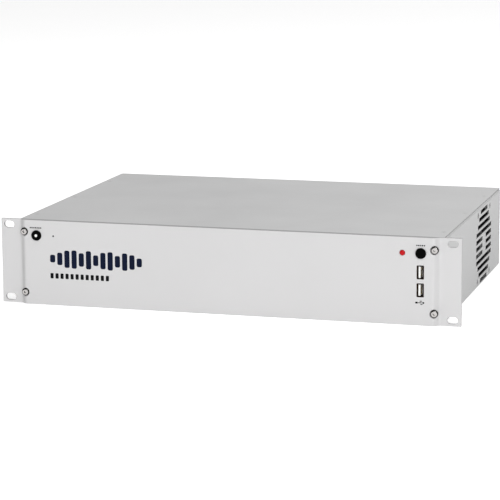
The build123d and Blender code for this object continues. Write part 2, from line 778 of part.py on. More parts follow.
with BuildPart() as switch_bodies:
    with BuildSketch(facing_front(switch_depth)):
        with Locations((-control_x, control_z), (control_x, control_z)):
            RectangleRounded(switch_size, switch_size, 0.4)
            Circle(stem_radius + 0.3, mode=Mode.SUBTRACT)
    extrude(amount=-(front_board_depth - switch_depth))
    with BuildSketch(facing_front(front_board_depth)):
        with Locations((-control_x, control_z), (control_x, control_z)):
            Circle(stem_radius + 0.4)
    extrude(amount=1)
pieces["switch_bodies"] = switch_bodies

with BuildPart() as power_lamp:
    with BuildSketch(facing_front(-panel_step - 1.0)):
        with Locations((lamp_x, control_z)):
            Circle(lamp_radius)
    extrude(amount=-(1.0 + panel_step + wall_behind_controls))
    fillet(power_lamp.edges().group_by(Axis.Y)[0], 1.9)
    with BuildSketch(facing_front(wall_behind_controls)):
        with Locations((lamp_x, control_z)):
            Circle(lamp_radius + 0.6)
    extrude(amount=-1)
    with BuildSketch(facing_front(wall_behind_controls + 1)):
        with Locations((lamp_x, control_z)):
            with GridLocations(2.54, 0, 2, 1):
                Rectangle(0.6, 0.6)
    extrude(amount=-(standoff_length - 1))
pieces["power_lamp"] = power_lamp

with BuildPart() as usb_shells:
    with BuildSketch(facing_front(usb_front)):
        with Locations(*usb_places):
            RectangleRounded(*usb_shell, 0.6)
            RectangleRounded(*usb_mouth, 0.4, mode=Mode.SUBTRACT)
    extrude(amount=-(front_board_depth - usb_front))
pieces["usb_shells"] = usb_shells

with BuildPart() as usb_tongues:
    with BuildSketch(facing_front(front_board_depth - usb_block)):
        with Locations(*usb_places):
            RectangleRounded(*usb_mouth, 0.4)
    extrude(amount=-usb_block)
    with BuildSketch(facing_front(usb_front + 0.9)):
        with Locations(*[(x - 0.9, z) for x, z in usb_places]):
            Rectangle(*tongue_size)
    extrude(amount=-(front_board_depth - usb_front - 1))
pieces["usb_tongues"] = usb_tongues

# ---- Rear connectors --------------------------------------------------------------------------------
connector_board_depth = 304.6  # the rear face of the upright board that carries the audio connectors
connector_body = case_depth - connector_board_depth
xlr_flange_thickness = 2.2
latch_travel = 1.2
latch_reach = 4.4
pin_spread = 3.6
input_floor = 3.0  # closed back of an input socket

with BuildPart() as connector_board:
    with BuildSketch(facing_rear(-connector_body)):
        with Locations((3, 45)):
            Rectangle(214, 70)
    extrude(amount=-board_thickness)
pieces["connector_board"] = connector_board

for name, places in (("xlr_input_shells", xlr_input_places), ("xlr_output_shells", xlr_output_places)):
    is_input = name == "xlr_input_shells"
    with BuildPart() as xlr_shell:
        with BuildSketch(facing_rear(0)):
            with Locations(*places):
                RectangleRounded(*xlr_flange, 2.5)
        extrude(amount=xlr_flange_thickness)
        fillet(xlr_shell.edges().group_by(Axis.Y)[-1], 0.6)
        with BuildSketch(facing_rear(0)):
            with Locations(*places):
                Circle(xlr_body_radius)
        extrude(amount=-connector_body)
        with BuildSketch(facing_rear(xlr_flange_thickness)):
            with Locations(*places):
                Circle(xlr_bore_radius)
        floor_left = input_floor if is_input else 0
        extrude(amount=-(connector_body + xlr_flange_thickness - floor_left), mode=Mode.SUBTRACT)
        with BuildSketch(facing_rear(xlr_flange_thickness)):
            with Locations(*[(x + side * 9.5, z + side * 12) for x, z in places for side in (-1, 1)]):
                Circle(1.65)
        extrude(amount=-xlr_flange_thickness, mode=Mode.SUBTRACT)
        screw_holes = xlr_shell.edges().filter_by(GeomType.CIRCLE).filter_by(lambda edge: edge.radius < 1.7)
        chamfer(screw_holes.group_by(Axis.Y)[-1], 1.35)
        if is_input:
            with BuildSketch(facing_rear(xlr_flange_thickness)):
                with Locations(*[(across, z + latch_lift) for across, z in places]):
                    Rectangle(latch_size[0] + 0.7, latch_size[1] + 0.7)
            extrude(amount=-(xlr_flange_thickness + 12), mode=Mode.SUBTRACT)
    pieces[name] = xlr_shell

with BuildPart() as xlr_input_inserts:
    with BuildSketch(facing_rear(-connector_body + input_floor)):
        with Locations(*xlr_input_places):
            Circle(7.9)
    extrude(amount=connector_body - input_floor - 0.5)
    with BuildSketch(facing_rear(-0.5)):
        with Locations(*xlr_input_places):
            with PolarLocations(pin_spread, 3, start_angle=-90):
                Circle(1.3)
    extrude(amount=-12, mode=Mode.SUBTRACT)
pieces["xlr_input_inserts"] = xlr_input_inserts

for name, (across, z) in zip(("xlr_latch_lower", "xlr_latch_upper"), xlr_input_places):
    with BuildPart() as latch:
        with BuildSketch(facing_rear(latch_reach)):
            with Locations((across, z + latch_lift)):
                Rectangle(*latch_size)
        extrude(amount=-(latch_reach + 8))
        fillet(latch.edges().group_by(Axis.Y)[-1], 0.7)
    pieces[name] = latch

with BuildPart() as xlr_output_bases:
    with BuildSketch(facing_rear(-connector_body)):
        with Locations(*xlr_output_places):
            Circle(xlr_bore_radius)
            with PolarLocations(pin_spread, 3, start_angle=90):
                Circle(1.2, mode=Mode.SUBTRACT)
    extrude(amount=5)
pieces["xlr_output_bases"] = xlr_output_bases

with BuildPart() as xlr_output_pins:
    with BuildSketch(facing_rear(-connector_body)):
        with Locations(*xlr_output_places):
            with PolarLocations(pin_spread, 3, start_angle=90):
                Circle(1.2)
    extrude(amount=connector_body - 1)
    fillet(xlr_output_pins.edges().group_by(Axis.Y)[-1], 0.8)
pieces["xlr_output_pins"] = xlr_output_pins

with BuildPart() as dsub_shells:
    with BuildSketch(facing_rear(0)):
        with Locations(*dsub_places):
            RectangleRounded(*dsub_flange, 1.5)
            with GridLocations(2 * dsub_screw_x, 0, 2, 1):
                Circle(1.6, mode=Mode.SUBTRACT)
    extrude(amount=0.9)
    with BuildSketch(facing_rear(0.9)):
        with Locations(*dsub_places):
            Trapezoid(39.2, 8.4, 80, rotation=180)
    extrude(amount=5.2)
    with BuildSketch(facing_rear(6.1)):
        with Locations(*dsub_places):
            Trapezoid(38.2, 7.6, 80, rotation=180)
    extrude(amount=-6.1, mode=Mode.SUBTRACT)
pieces["dsub_shells"] = dsub_shells

with BuildPart() as dsub_inserts:
    with BuildSketch(facing_rear(-connector_body)):
        with Locations(*dsub_places):
            Rectangle(40.4, 9.8)
    extrude(amount=connector_body)
    with BuildSketch(facing_rear(0)):
        with Locations(*dsub_places):
            Trapezoid(38.1, 7.5, 80, rotation=180)
    extrude(amount=5.9)
    with BuildSketch(facing_rear(5.9)):
        with Locations(*dsub_places):
            with Locations((0, 1.42)):
                with GridLocations(2.77, 0, 13, 1):
                    Circle(0.6)
            with Locations((0, -1.42)):
                with GridLocations(2.77, 0, 12, 1):
                    Circle(0.6)
    extrude(amount=-6, mode=Mode.SUBTRACT)
pieces["dsub_inserts"] = dsub_inserts

with BuildPart() as dsub_jackscrews:
    with BuildSketch(facing_rear(0.9)):
        with Locations(*dsub_places):
            with GridLocations(2 * dsub_screw_x, 0, 2, 1):
                RegularPolygon(2.7, 6)
                Circle(1.3, mode=Mode.SUBTRACT)
    extrude(amount=5)
    with BuildSketch(facing_rear(0.9)):
        with Locations(*dsub_places):
            with GridLocations(2 * dsub_screw_x, 0, 2, 1):
                Circle(1.4)
    extrude(amount=-9)
pieces["dsub_jackscrews"] = dsub_jackscrews

with BuildPart() as bnc_connectors:
    with BuildSketch(facing_rear(0)):
        with Locations(*bnc_places):
            RegularPolygon(8, 6)
    extrude(amount=2.4)
    with BuildSketch(facing_rear(-connector_body)):
        with Locations(*bnc_places):
            Circle(5.5)
    extrude(amount=connector_body)
    with BuildSketch(facing_rear(2.4)):
        with Locations(*bnc_places):
            Circle(4.85)
    extrude(amount=bnc_reach - 2.4)
    fillet(bnc_connectors.edges().group_by(Axis.Y)[-1], 0.4)
    with BuildSketch(facing_rear(bnc_reach - 4.6)):
        with Locations(*bnc_places):
            Rectangle(11.4, 1.9)
    extrude(amount=1.9)
    with BuildSketch(facing_rear(bnc_reach)):
        with Locations(*bnc_places):
            Circle(4.1)
    extrude(amount=-(bnc_reach + connector_body), mode=Mode.SUBTRACT)
pieces["bnc_connectors"] = bnc_connectors

with BuildPart() as bnc_inserts:
    with BuildSketch(facing_rear(-connector_body)):
        with Locations(*bnc_places):
            Circle(4.1)
    extrude(amount=connector_body + 3)
    with BuildSketch(facing_rear(3)):
        with Locations(*bnc_places):
            Circle(2.4)
    extrude(amount=bnc_reach - 4)
    with BuildSketch(facing_rear(bnc_reach - 1)):
        with Locations(*bnc_places):
            Circle(0.7)
    extrude(amount=-6, mode=Mode.SUBTRACT)
pieces["bnc_inserts"] = bnc_inserts

with BuildPart() as network_port:
    with BuildSketch(facing_rear(0.6)):
        with Locations(network_port_place):
            Rectangle(*network_port_size)
    extrude(amount=-(connector_body + 0.6))
    with BuildSketch(facing_rear(0.6)):
        with Locations(network_port_place):
            with Locations((0, 0.6)):
                Rectangle(11.8, 8.0)
            with Locations((0, -4.2)):
                Rectangle(6.2, 3.0)
    extrude(amount=-13, mode=Mode.SUBTRACT)
pieces["network_port"] = network_port

# ---- Mains inlet, fuse and switch -------------------------------------------------------------------
socket_width = 24.4
socket_height_z = 17.0
socket_deep = 16.5
drawer_pocket = (22.8, 12.0)
drawer_size = (22.2, 11.4)
drawer_deep = 22.0
drawer_travel = 20.0
fuse_radius = 2.6
blade_offsets = ((-blade_across, -2), (blade_across, -2), (0, 2))
inlet_pins_at = [(inlet_place[0] + x, socket_z + z) for x, z in blade_offsets]

with BuildPart() as inlet_housing:
    with BuildSketch(facing_rear(0)):
        with Locations(inlet_place):
            RectangleRounded(*inlet_flange, 4)
    extrude(amount=3)
    fillet(inlet_housing.edges().group_by(Axis.Y)[-1], 0.8)
    with BuildSketch(facing_rear(0)):
        with Locations(inlet_place):
            RectangleRounded(*inlet_body, 1)
    extrude(amount=-28)
    with BuildSketch(facing_rear(3)) as socket_outline:
        with Locations((inlet_place[0], socket_z)):
            Rectangle(socket_width, socket_height_z)
        chamfer(socket_outline.vertices().group_by(Axis.Y)[-1], 4.5)
    extrude(amount=-socket_deep - 3, mode=Mode.SUBTRACT)
    with BuildSketch(facing_rear(3)):
        with Locations((inlet_place[0], drawer_z)):
            Rectangle(*drawer_pocket)
    extrude(amount=-drawer_deep - 3.5, mode=Mode.SUBTRACT)
    with BuildSketch(facing_rear(-socket_deep)):
        with Locations(*inlet_pins_at):
            Rectangle(2, 4)
    extrude(amount=-20, mode=Mode.SUBTRACT)
    with Locations(facing_rear(3)):
        with Locations(*inlet_screw_places):
            CounterSinkHole(1.65, 3.0, 3, 90)
pieces["inlet_housing"] = inlet_housing

with BuildPart() as inlet_pins:
    with BuildSketch(facing_rear(inlet_tab_depth - case_depth)):
        with Locations(*inlet_pins_at):
            Rectangle(2, 4)
    extrude(amount=case_depth - inlet_tab_depth)
    chamfer(inlet_pins.edges().group_by(Axis.Y)[-1], 0.5)
pieces["inlet_pins"] = inlet_pins

with BuildPart() as fuse_drawer:
    with BuildSketch(facing_rear(3.6)):
        with Locations((inlet_place[0], drawer_z)):
            RectangleRounded(*drawer_size, 0.6)
    extrude(amount=-(drawer_deep + 3.6))
    with BuildSketch(facing_rear(-0.5)):  # open trough for the fuse
        with Locations((inlet_place[0], drawer_z + 2)):
            Rectangle(2 * fuse_radius + 0.4, 11.4)
    extrude(amount=-20.4, mode=Mode.SUBTRACT)
    with BuildSketch(facing_rear(3.6)):  # finger notch
        with Locations((inlet_place[0], drawer_z + 3.9)):
            Rectangle(9, 1.8)
    extrude(amount=-1.6, mode=Mode.SUBTRACT)
pieces["fuse_drawer"] = fuse_drawer

with BuildPart() as fuse:
    with BuildSketch(facing_rear(-0.7)):
        with Locations((inlet_place[0], drawer_z - 1.0)):
            Circle(fuse_radius)
    extrude(amount=-20)
pieces["fuse"] = fuse

rocker_mouth = (16.8, 25.4)
rocker_pivot_reach = -3.0
rocker_half = 11.6
rocker_tilt = 10.0
pivot_pin_radius = 1.1
rocker_pivot = (-rocker_place[0], ear_y + case_depth + rocker_pivot_reach, rocker_place[1])
rocker_level = Plane(rocker_pivot, x_dir=(0, 0, 1), z_dir=(1, 0, 0))
rocker_plane = Plane(rocker_level.location * Rotation(0, 0, rocker_tilt))

with BuildPart() as rocker_frame:
    with BuildSketch(facing_rear(0)):
        with Locations(rocker_place):
            RectangleRounded(25, 32.5, 1.5)
    extrude(amount=2)
    fillet(rocker_frame.edges().group_by(Axis.Y)[-1], 0.8)
    with BuildSketch(facing_rear(0)):
        with Locations(rocker_place):
            Rectangle(*rocker_body)
    extrude(amount=-26)
    with BuildSketch(facing_rear(2)):
        with Locations(rocker_place):
            Rectangle(*rocker_mouth)
    extrude(amount=-18, mode=Mode.SUBTRACT)
    with BuildSketch(facing_rear(-26)):
        with Locations(*[(rocker_place[0] + x, rocker_place[1] + z) for x in (-5, 5) for z in (-8, 3, 9)]):
            Rectangle(1, 4.5)
    extrude(amount=-(case_depth - 26 - rocker_tab_depth))
    with BuildSketch(rocker_level):  # sockets for the rocker's pivot pins
        Circle(pivot_pin_radius + 0.15)
    extrude(amount=9.8, both=True, mode=Mode.SUBTRACT)
pieces["rocker_frame"] = rocker_frame

with BuildPart() as rocker:
    with BuildSketch(rocker_plane):
        with BuildLine():
            rise = rocker_half * 0.176
            Polyline((-rocker_half, -0.5), (-rocker_half, -2.6 - rise), (0, -2.6), (rocker_half, -2.6 - rise),
                     (rocker_half, -0.5))
            ThreePointArc((rocker_half, -0.5), (0, 8), (-rocker_half, -0.5))
        make_face()
    extrude(amount=rocker_mouth[0] / 2 - 0.4, both=True)
    with BuildSketch(rocker_level):
        Circle(pivot_pin_radius)
    extrude(amount=9.5, both=True)
pieces["rocker"] = rocker

connector_screw = countersunk_screw(head_radius=2.9, radius=1.4, length=8)
with BuildPart() as connector_screws:
    with Locations(facing_rear(xlr_flange_thickness)):
        with Locations(*xlr_screw_places):
            add(connector_screw)
    with Locations(facing_rear(3)):
        with Locations(*inlet_screw_places):
            add(connector_screw)
pieces["connector_screws"] = connector_screws

# ---- Option slots -----------------------------------------------------------------------------------
with BuildPart() as option_covers:
    with BuildSketch(facing_rear(0)):
        with Locations(*[(option_across, z) for z in option_rows]):
            RectangleRounded(*option_cover_size, 1.0)
        with Locations(*thumbscrew_places):
            Circle(1.7, mode=Mode.SUBTRACT)
    extrude(amount=1.5)
pieces["option_covers"] = option_covers

knob_radius = 4.3
with BuildPart() as thumbscrews:
    with BuildSketch(facing_rear(1.5)):
        with Locations(*thumbscrew_places):
            Circle(2.8)
    extrude(amount=1)
    with BuildSketch(facing_rear(2.5)):
        with Locations(*thumbscrew_places):
            Circle(knob_radius)
            with PolarLocations(knob_radius + 0.15, 16):
                Circle(0.45, mode=Mode.SUBTRACT)
    extrude(amount=7)
    with BuildSketch(facing_rear(9.5)):
        with Locations(*thumbscrew_places):
            Rectangle(5, 0.9)
    extrude(amount=-1, mode=Mode.SUBTRACT)
    with BuildSketch(facing_rear(1.5)):
        with Locations(*thumbscrew_places):
            Circle(1.45)
    extrude(amount=-8)
pieces["thumbscrews"] = thumbscrews

# ---- Write the STEP files ---------------------------------------------------------------------------
os.makedirs("parts", exist_ok=True)
for name, piece in pieces.items():
    piece.part.label = name
    export_step(piece.part, f"parts/{name}.step")
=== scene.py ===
import math

import bmesh
import bpy
from mathutils import Euler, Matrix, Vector


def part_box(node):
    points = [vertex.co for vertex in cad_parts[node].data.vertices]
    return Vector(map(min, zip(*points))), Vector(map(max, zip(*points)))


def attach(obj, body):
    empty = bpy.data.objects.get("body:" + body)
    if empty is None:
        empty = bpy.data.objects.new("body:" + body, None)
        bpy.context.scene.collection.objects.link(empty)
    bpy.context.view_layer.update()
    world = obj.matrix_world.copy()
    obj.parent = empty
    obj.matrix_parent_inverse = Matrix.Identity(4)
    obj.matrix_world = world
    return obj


# Two-unit rack effects processor: finishes, printed marks, contacts, studio and camera around the CAD frame.
# Metres throughout. +X is right seen from the front, +Y is to the rear, +Z is up.
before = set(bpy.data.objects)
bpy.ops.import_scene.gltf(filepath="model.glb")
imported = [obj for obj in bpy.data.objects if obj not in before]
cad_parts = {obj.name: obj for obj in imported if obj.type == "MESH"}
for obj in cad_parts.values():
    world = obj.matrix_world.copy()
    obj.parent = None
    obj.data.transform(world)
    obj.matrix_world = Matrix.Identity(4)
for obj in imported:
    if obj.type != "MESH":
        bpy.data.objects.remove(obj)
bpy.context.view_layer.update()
MM = 0.001

FACE_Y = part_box("front_panel")[0][1]  # front face of the middle of the panel
REAR_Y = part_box("rear_panel")[1][1]  # outer face of the rear panel
WALL_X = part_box("chassis_tub")[1][0]  # outer face of the right-hand wall


# ---- Materials --------------------------------------------------------------------------------------
def blank_material(name, metallic, roughness, coat=0.0, transmission=0.0, specular=0.5):
    """A material whose constant values are set on its shader's own sockets."""
    material = bpy.data.materials.new(name)
    material.use_nodes = True
    shader = material.node_tree.nodes["Principled BSDF"]
    shader.inputs["Metallic"].default_value = metallic
    shader.inputs["Roughness"].default_value = roughness
    shader.inputs["Coat Weight"].default_value = coat
    shader.inputs["Coat Roughness"].default_value = 0.15
    shader.inputs["Transmission Weight"].default_value = transmission
    shader.inputs["IOR"].default_value = 1.5
    shader.inputs["Specular IOR Level"].default_value = specular
    return material, shader


def add_noise(material, scale, detail=3.0, stretch=(1, 1, 1)):
    """A noise texture in the row frame; its scale is in cells per metre before the stretch."""
    tree = material.node_tree
    coordinates = tree.nodes.new("ShaderNodeTexCoord")
    mapping = tree.nodes.new("ShaderNodeMapping")
    mapping.inputs["Scale"].default_value = stretch
    noise = tree.nodes.new("ShaderNodeTexNoise")
    noise.inputs["Scale"].default_value = scale
    noise.inputs["Detail"].default_value = detail
    tree.links.new(coordinates.outputs["Object"], mapping.inputs["Vector"])
    tree.links.new(mapping.outputs["Vector"], noise.inputs["Vector"])
    return noise


def colour_by(material, shader, source, low, high, start=0.3, end=0.7):
    """Base colour goes from low to high as source goes from start to end."""
    tree = material.node_tree
    ramp = tree.nodes.new("ShaderNodeValToRGB")
    ramp.color_ramp.elements[0].position = start
    ramp.color_ramp.elements[0].color = (*low, 1)
    ramp.color_ramp.elements[1].position = end
    ramp.color_ramp.elements[1].color = (*high, 1)
    tree.links.new(source, ramp.inputs["Fac"])
    tree.links.new(ramp.outputs["Color"], shader.inputs["Base Color"])


def range_to(material, source, socket, low, high, start=0.3, end=0.7):
    """Drives a socket from low to high as source goes from start to end."""
    tree = material.node_tree
    change = tree.nodes.new("ShaderNodeMapRange")
    change.inputs["From Min"].default_value = start
    change.inputs["From Max"].default_value = end
    change.inputs["To Min"].default_value = low
    change.inputs["To Max"].default_value = high
    tree.links.new(source, change.inputs["Value"])
    tree.links.new(change.outputs["Result"], socket)


def add_bump(material, shader, height, distance):
    """Relief that follows height, up to distance metres deep."""
    tree = material.node_tree
    bump = tree.nodes.new("ShaderNodeBump")
    bump.inputs["Strength"].default_value = 1.0
    bump.inputs["Distance"].default_value = distance
    tree.links.new(height, bump.inputs["Height"])
    tree.links.new(bump.outputs["Normal"], shader.inputs["Normal"])


def surface(name, colour, spread, roughness, grain, bump, cloud, metallic=0.0, stretch=(1, 1, 1),
            **shader_values):
    """A finish with slow clouding in its colour, a grain that moves its roughness, and that grain as relief.

    spread is the relative change of colour, roughness is its lowest and highest value, grain and cloud are
    cells per metre, and bump is in millimetres.
    """
    material, shader = blank_material(name, metallic, sum(roughness) / 2, **shader_values)
    clouds = add_noise(material, cloud, detail=4.0)
    low = tuple(channel * (1 - spread) for channel in colour)
    high = tuple(min(1.0, channel * (1 + spread)) for channel in colour)
    colour_by(material, shader, clouds.outputs["Fac"], low, high)
    fine = add_noise(material, grain, detail=2.0, stretch=stretch)
    range_to(material, fine.outputs["Fac"], shader.inputs["Roughness"], *roughness)
    add_bump(material, shader, fine.outputs["Fac"], bump * MM)
    return material


def shade_by(material, factor, start, end, tone):
    """Paints shade: multiplies the base colour by a tone that comes in as factor goes from start to end."""
    tree = material.node_tree
    shader = tree.nodes["Principled BSDF"]
    colour = shader.inputs["Base Color"].links[0].from_socket
    mix = tree.nodes.new("ShaderNodeMix")
    mix.data_type = "RGBA"
    mix.blend_type = "MULTIPLY"
    range_to(material, factor, mix.inputs["Factor"], 0.0, 1.0, start, end)
    tree.links.new(colour, mix.inputs["A"])
    mix.inputs["B"].default_value = (tone, tone, tone, 1)
    tree.links.new(mix.outputs["Result"], shader.inputs["Base Color"])


def reckon(material, operation, first, second=None, limit=0.0):
    """A math node of one source and either a second source or the plain number limit."""
    tree = material.node_tree
    result = tree.nodes.new("ShaderNodeMath")
    result.operation = operation
    result.inputs[1].default_value = limit
    tree.links.new(first, result.inputs[0])
    if second is not None:
        tree.links.new(second, result.inputs[1])
    return result.outputs["Value"]


def facing(material, axis):
    """How squarely a face looks along an axis of the row frame, either way: 0 to 1."""
    tree = material.node_tree
    geometry = tree.nodes.new("ShaderNodeNewGeometry")
    split = tree.nodes.new("ShaderNodeSeparateXYZ")
    tree.links.new(geometry.outputs["True Normal"], split.inputs["Vector"])
    return reckon(material, "ABSOLUTE", split.outputs[axis])


def place_along(material, axis):
    """Where a point lies along an axis of the row frame, in metres."""
    tree = material.node_tree
    geometry = tree.nodes.new("ShaderNodeNewGeometry")
    split = tree.nodes.new("ShaderNodeSeparateXYZ")
    tree.links.new(geometry.outputs["Position"], split.inputs["Vector"])
    return split.outputs[axis]


MATERIALS = {
    "panel": surface("panel_aluminium", (0.637, 0.633, 0.636), spread=0.012, roughness=(0.42, 0.55),
                     grain=2600, bump=0.012, cloud=9),
    "case": surface("case_steel", (0.60, 0.60, 0.601), spread=0.03, roughness=(0.36, 0.48), grain=2200,
                    bump=0.014, cloud=12, metallic=0.1),
    # the cover is the case's steel made lighter: painted light on the lid's top
    "cover": surface("cover_steel", (0.675, 0.675, 0.676), spread=0.035, roughness=(0.36, 0.48), grain=2200,
                     bump=0.014, cloud=12, metallic=0.1),
    "painted_screw": surface("painted_screw", (0.61, 0.61, 0.612), spread=0.04, roughness=(0.32, 0.44),
                             grain=2200, bump=0.010, cloud=200, metallic=0.1),
    "rear": surface("rear_steel", (0.085, 0.087, 0.09), spread=0.06, roughness=(0.38, 0.5), grain=1500,
                    bump=0.014, cloud=30),
    "bright": surface("bright_steel", (0.50, 0.485, 0.475), spread=0.03, roughness=(0.10, 0.18), grain=900,
                      bump=0.002, cloud=200, metallic=1.0),
    "zinc": surface("zinc_steel", (0.60, 0.60, 0.58), spread=0.10, roughness=(0.28, 0.45), grain=1200,
                    bump=0.004, cloud=300, metallic=1.0),
    "black_oxide": surface("black_oxide", (0.03, 0.03, 0.032), spread=0.15, roughness=(0.3, 0.45),
                           grain=1200, bump=0.003, cloud=300, metallic=0.6),
    "nickel": surface("nickel", (0.62, 0.60, 0.56), spread=0.05, roughness=(0.16, 0.28), grain=1200,
                      bump=0.003, cloud=150, metallic=1.0),
    "die_cast": surface("die_cast_nickel", (0.40, 0.39, 0.375), spread=0.05, roughness=(0.32, 0.44),
                        grain=1800, bump=0.012, cloud=120, metallic=0.9),
    "knurled": surface("machined_aluminium", (0.70, 0.70, 0.71), spread=0.04, roughness=(0.2, 0.34),
                       grain=700, bump=0.004, cloud=150, metallic=1.0),
    "gold": surface("contact_gold", (0.83, 0.62, 0.25), spread=0.05, roughness=(0.15, 0.25), grain=1500,
                    bump=0.001, cloud=400, metallic=1.0),
    "port_shell": surface("port_shell", (0.020, 0.011, 0.006), spread=0.12, roughness=(0.35, 0.50),
                          grain=1500, bump=0.004, cloud=300, specular=0.06),
    "port_tongue": surface("port_tongue", (0.92, 0.92, 0.90), spread=0.03, roughness=(0.35, 0.5),
                           grain=2500, bump=0.004, cloud=300),
    "button": surface("button_black", (0.002, 0.002, 0.002), spread=0.10, roughness=(0.30, 0.42),
                      grain=2600, bump=0.006, cloud=200, specular=0.02),
    "black": surface("black_plastic", (0.018, 0.018, 0.019), spread=0.12, roughness=(0.38, 0.52),
                     grain=2400, bump=0.010, cloud=120),
    "fan": surface("fan_plastic", (0.008, 0.008, 0.009), spread=0.15, roughness=(0.42, 0.6), grain=1500,
                   bump=0.010, cloud=120, specular=0.25),
    "white": surface("natural_plastic", (0.80, 0.78, 0.70), spread=0.04, roughness=(0.35, 0.5), grain=1800,
                     bump=0.006, cloud=150),
    "board_green": surface("board_green", (0.012, 0.115, 0.05), spread=0.25, roughness=(0.22, 0.35),
                           grain=500, bump=0.02, cloud=160, coat=0.4),
    "board_brown": surface("board_brown", (0.28, 0.17, 0.07), spread=0.15, roughness=(0.45, 0.6), grain=600,
                           bump=0.02, cloud=120),
    "chip": surface("chip_black", (0.02, 0.02, 0.021), spread=0.12, roughness=(0.45, 0.6), grain=3000,
                    bump=0.012, cloud=200),
    "sink_black": surface("sink_black", (0.02, 0.02, 0.021), spread=0.1, roughness=(0.35, 0.5), grain=1600,
                          bump=0.006, cloud=90, metallic=0.4),
    "sink_silver": surface("sink_silver", (0.62, 0.62, 0.63), spread=0.06, roughness=(0.25, 0.4), grain=900,
                           bump=0.008, cloud=60, metallic=1.0, stretch=(1, 1, 0.05)),
    "sleeve": surface("capacitor_sleeve", (0.012, 0.02, 0.055), spread=0.15, roughness=(0.2, 0.3),
                      grain=900, bump=0.006, cloud=90, coat=0.3),
    "ferrite": surface("ferrite", (0.06, 0.06, 0.064), spread=0.15, roughness=(0.5, 0.65), grain=1600,
                       bump=0.02, cloud=200, metallic=0.1),
    "tape": surface("winding_tape", (0.62, 0.44, 0.08), spread=0.10, roughness=(0.25, 0.38), grain=500,
                    bump=0.03, cloud=90, stretch=(0.1, 0.1, 6)),
    "copper": surface("copper_wire", (0.72, 0.33, 0.15), spread=0.12, roughness=(0.25, 0.4), grain=300,
                      bump=0.08, cloud=200, metallic=1.0, stretch=(12, 0.4, 0.4)),
    "ribbon": surface("ribbon_grey", (0.36, 0.37, 0.38), spread=0.08, roughness=(0.5, 0.62), grain=900,
                      bump=0.02, cloud=80, stretch=(1, 1, 2)),
    "wire_red": surface("wire_red", (0.42, 0.02, 0.018), spread=0.10, roughness=(0.35, 0.5), grain=900,
                        bump=0.008, cloud=80),
    "wire_brown": surface("wire_brown", (0.17, 0.07, 0.03), spread=0.12, roughness=(0.35, 0.5), grain=900,
                          bump=0.008, cloud=80),
    "brass": surface("standoff_brass", (0.66, 0.52, 0.26), spread=0.06, roughness=(0.22, 0.35), grain=900,
                     bump=0.004, cloud=150, metallic=1.0),
    "glass": surface("fuse_glass", (0.85, 0.9, 0.88), spread=0.03, roughness=(0.04, 0.08), grain=300,
                     bump=0.002, cloud=100, transmission=0.9),
    "lens_red": surface("lamp_red", (0.52, 0.0015, 0.005), spread=0.08, roughness=(0.10, 0.18), grain=500,
                        bump=0.004, cloud=300, specular=0.2),
    "lens_white": surface("lamp_white", (0.88, 0.88, 0.86), spread=0.03, roughness=(0.2, 0.3), grain=900,
                          bump=0.003, cloud=300),
    "ink_navy": surface("ink_navy", (0.003, 0.007, 0.026), spread=0.12, roughness=(0.35, 0.45), grain=2500,
                        bump=0.002, cloud=120, specular=0.08),
    "ink_black": surface("ink_black", (0.004, 0.004, 0.005), spread=0.12, roughness=(0.4, 0.5), grain=2500,
                         bump=0.002, cloud=120, specular=0.08),
    "ink_white": surface("ink_white", (0.80, 0.80, 0.78), spread=0.03, roughness=(0.4, 0.5), grain=2500,
                         bump=0.002, cloud=120),
}

PANEL, CASE, COVER, BRIGHT = (MATERIALS[key] for key in ("panel", "case", "cover", "bright"))

shade_by(PANEL, facing(PANEL, "Z"), 0.80, 0.97, 0.60)  # painted shade on the panel's faces that look up or down
# painted shade on the panel's faces that look sideways
shade_by(PANEL, facing(PANEL, "X"), 0.85, 0.98, 0.62)
shade_by(PANEL, facing(PANEL, "X"), 0.20, 0.50, 0.90)  # painted shade on the slopes of the two steps
# painted shade on the case's sides, which face sideways
shade_by(CASE, facing(CASE, "X"), 0.70, 0.96, 0.735)
shade_by(CASE, place_along(CASE, "Z"), 0.080, 0.0, 0.76)  # painted shade, darker towards the floor
shade_by(CASE, place_along(CASE, "Y"), REAR_Y - 0.009, REAR_Y - 0.003, 0.74)  # painted shade along the rear fold
from_middle = reckon(CASE, "ABSOLUTE", place_along(CASE, "X"))
in_wall = reckon(CASE, "GREATER_THAN", from_middle, limit=WALL_X - 1.15 * MM)
slot_shade_mask = reckon(CASE, "SUBTRACT", in_wall, facing(CASE, "X"))
shade_by(CASE, slot_shade_mask, 0.60, 0.90, 0.25)  # painted shade on the cut faces inside the slots of the walls
shade_by(COVER, facing(COVER, "Z"), 0.60, 0.20, 0.30)  # painted shade on the cover's edge faces, standing in for the shadow in the seam below them
shade_by(BRIGHT, facing(BRIGHT, "Y"), 0.97, 0.80, 0.05)  # painted shade round the rim of each screw's head
